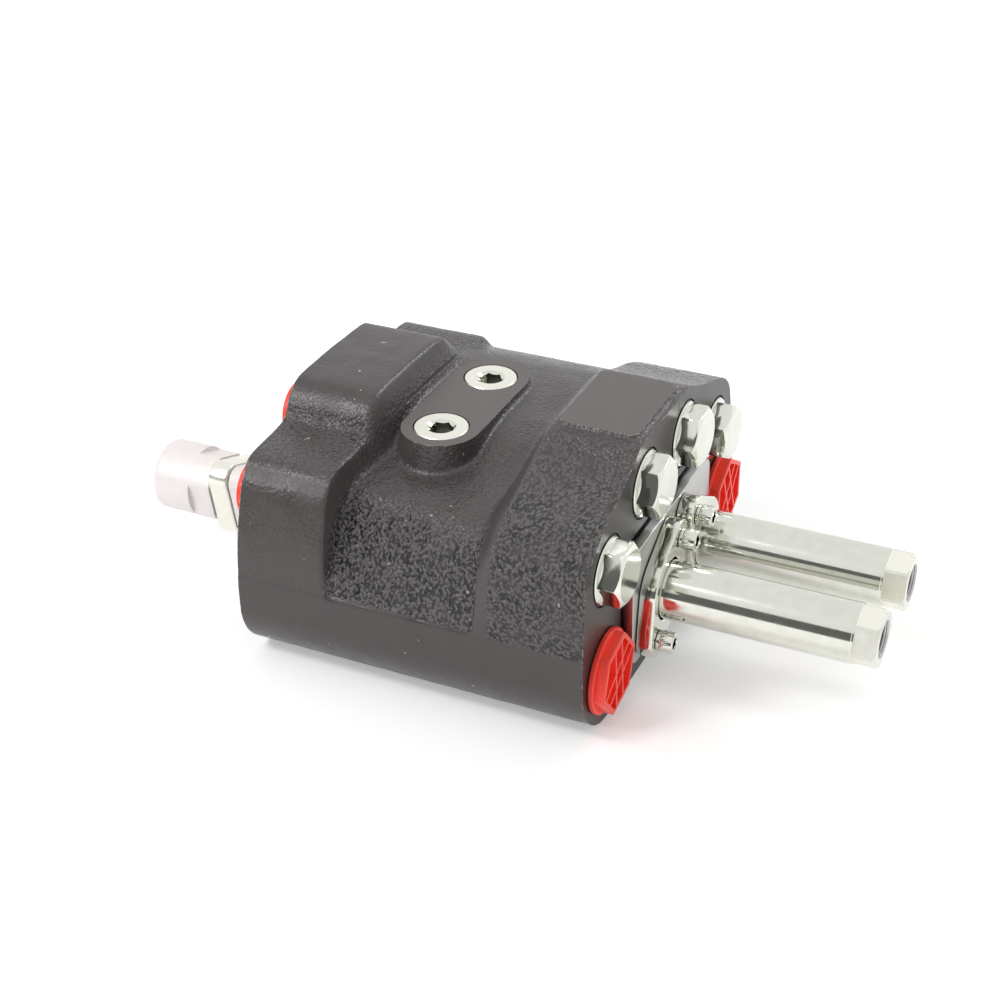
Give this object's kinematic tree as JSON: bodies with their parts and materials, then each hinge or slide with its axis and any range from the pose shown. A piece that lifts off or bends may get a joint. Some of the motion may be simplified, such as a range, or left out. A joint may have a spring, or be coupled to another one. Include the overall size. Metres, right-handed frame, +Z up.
{
  "type": "monoblock directional valve",
  "caption": "Black cast monoblock hydraulic directional valve with two spools, spring caps, hex plugs, port plugs and a relief valve.",
  "frame": {"origin": "centre of the bounding box at the height of the foot it rests on", "axes": "+X along the spools towards the spring caps, +Y away from the camera of the picture, +Z up"},
  "size_m": [0.3768, 0.186, 0.1197],
  "materials": {
    "satin_black_paint": "satin black paint over rough sand-cast iron",
    "bright_zinc_plate": "bright zinc plate with a faint yellow-green cast",
    "plain_steel": "machined steel",
    "ground_hardened_steel": "ground and hardened",
    "spring_steel": "oiled spring wire",
    "red_plastic": "moulded red polyethylene",
    "matte_grey_cap": "matte light grey",
    "teal_seal_rubber": "teal fluorocarbon rubber",
    "black_seal_rubber": "black nitrile rubber"
  },
  "bodies": {
    "housing": {"valve_body": "satin_black_paint", "cap_plate": "plain_steel", "front_cap_seal": "teal_seal_rubber", "rear_cap_seal": "teal_seal_rubber", "front_inner_spring_seat": "plain_steel", "front_centring_spring": "spring_steel", "front_spring_cap": "bright_zinc_plate", "front_cap_flange": "bright_zinc_plate", "front_flange_screw_lower": "bright_zinc_plate", "front_flange_screw_upper": "bright_zinc_plate", "front_gallery_plug": "bright_zinc_plate", "front_load_check_spring": "spring_steel", "front_end_cover": "bright_zinc_plate", "front_cover_seal": "black_seal_rubber", "front_cover_screw_lower": "bright_zinc_plate", "front_cover_screw_upper": "bright_zinc_plate", "rear_inner_spring_seat": "plain_steel", "rear_centring_spring": "spring_steel", "rear_spring_cap": "bright_zinc_plate", "rear_cap_flange": "bright_zinc_plate", "rear_flange_screw_lower": "bright_zinc_plate", "rear_flange_screw_upper": "bright_zinc_plate", "rear_gallery_plug": "bright_zinc_plate", "rear_load_check_spring": "spring_steel", "rear_end_cover": "bright_zinc_plate", "rear_cover_seal": "black_seal_rubber", "rear_cover_screw_lower": "bright_zinc_plate", "rear_cover_screw_upper": "bright_zinc_plate", "front_outer_plug": "bright_zinc_plate", "front_outer_poppet_spring": "spring_steel", "front_outer_port_cap": "red_plastic", "front_inner_plug": "bright_zinc_plate", "front_inner_poppet_spring": "spring_steel", "front_inner_port_cap": "red_plastic", "rear_inner_plug": "bright_zinc_plate", "rear_inner_poppet_spring": "spring_steel", "rear_inner_port_cap": "red_plastic", "rear_outer_plug": "bright_zinc_plate", "rear_outer_poppet_spring": "spring_steel", "rear_outer_port_cap": "red_plastic", "supply_port_cap": "red_plastic", "return_port_cap": "red_plastic", "relief_cartridge": "matte_grey_cap", "relief_spring": "spring_steel", "relief_adjusting_screw": "plain_steel", "relief_lock_nut": "bright_zinc_plate", "relief_cap": "matte_grey_cap"},
    "front_spool_set": {"front_spool": "ground_hardened_steel", "front_centring_bolt": "plain_steel", "front_outer_spring_seat": "plain_steel"},
    "front_load_check_poppet": {"front_load_check": "ground_hardened_steel"},
    "rear_spool_set": {"rear_spool": "ground_hardened_steel", "rear_centring_bolt": "plain_steel", "rear_outer_spring_seat": "plain_steel"},
    "rear_load_check_poppet": {"rear_load_check": "ground_hardened_steel"},
    "front_outer_valve": {"front_outer_poppet": "ground_hardened_steel"},
    "front_inner_valve": {"front_inner_poppet": "ground_hardened_steel"},
    "rear_inner_valve": {"rear_inner_poppet": "ground_hardened_steel"},
    "rear_outer_valve": {"rear_outer_poppet": "ground_hardened_steel"},
    "relief_valve_poppet": {"relief_poppet": "ground_hardened_steel"}
  },
  "joints": [
    {"name": "front_spool_slide", "type": "slide", "parent": "housing", "child": "front_spool_set", "axis": [1, 0, 0], "range_m": [-0.007, 0.007], "stiffness_N_per_m": 9000, "deforming": ["front_centring_spring"]},
    {"name": "front_load_check_lift", "type": "slide", "parent": "housing", "child": "front_load_check_poppet", "axis": [0, 0, 1], "range_m": [0, 0.003], "stiffness_N_per_m": 900, "springref_m": -0.003, "deforming": ["front_load_check_spring"]},
    {"name": "rear_spool_slide", "type": "slide", "parent": "housing", "child": "rear_spool_set", "axis": [1, 0, 0], "range_m": [-0.007, 0.007], "stiffness_N_per_m": 9000, "deforming": ["rear_centring_spring"]},
    {"name": "rear_load_check_lift", "type": "slide", "parent": "housing", "child": "rear_load_check_poppet", "axis": [0, 0, 1], "range_m": [0, 0.003], "stiffness_N_per_m": 900, "springref_m": -0.003, "deforming": ["rear_load_check_spring"]},
    {"name": "front_outer_poppet_lift", "type": "slide", "parent": "housing", "child": "front_outer_valve", "axis": [1, 0, 0], "range_m": [0, 0.004], "stiffness_N_per_m": 1200, "springref_m": -0.003, "deforming": ["front_outer_poppet_spring"]},
    {"name": "front_inner_poppet_lift", "type": "slide", "parent": "housing", "child": "front_inner_valve", "axis": [1, 0, 0], "range_m": [0, 0.004], "stiffness_N_per_m": 1200, "springref_m": -0.003, "deforming": ["front_inner_poppet_spring"]},
    {"name": "rear_inner_poppet_lift", "type": "slide", "parent": "housing", "child": "rear_inner_valve", "axis": [1, 0, 0], "range_m": [0, 0.004], "stiffness_N_per_m": 1200, "springref_m": -0.003, "deforming": ["rear_inner_poppet_spring"]},
    {"name": "rear_outer_poppet_lift", "type": "slide", "parent": "housing", "child": "rear_outer_valve", "axis": [1, 0, 0], "range_m": [0, 0.004], "stiffness_N_per_m": 1200, "springref_m": -0.003, "deforming": ["rear_outer_poppet_spring"]},
    {"name": "relief_poppet_lift", "type": "slide", "parent": "housing", "child": "relief_valve_poppet", "axis": [-1, 0, 0], "range_m": [0, 0.002], "stiffness_N_per_m": 20000, "springref_m": -0.003, "deforming": ["relief_spring"]}
  ]
}
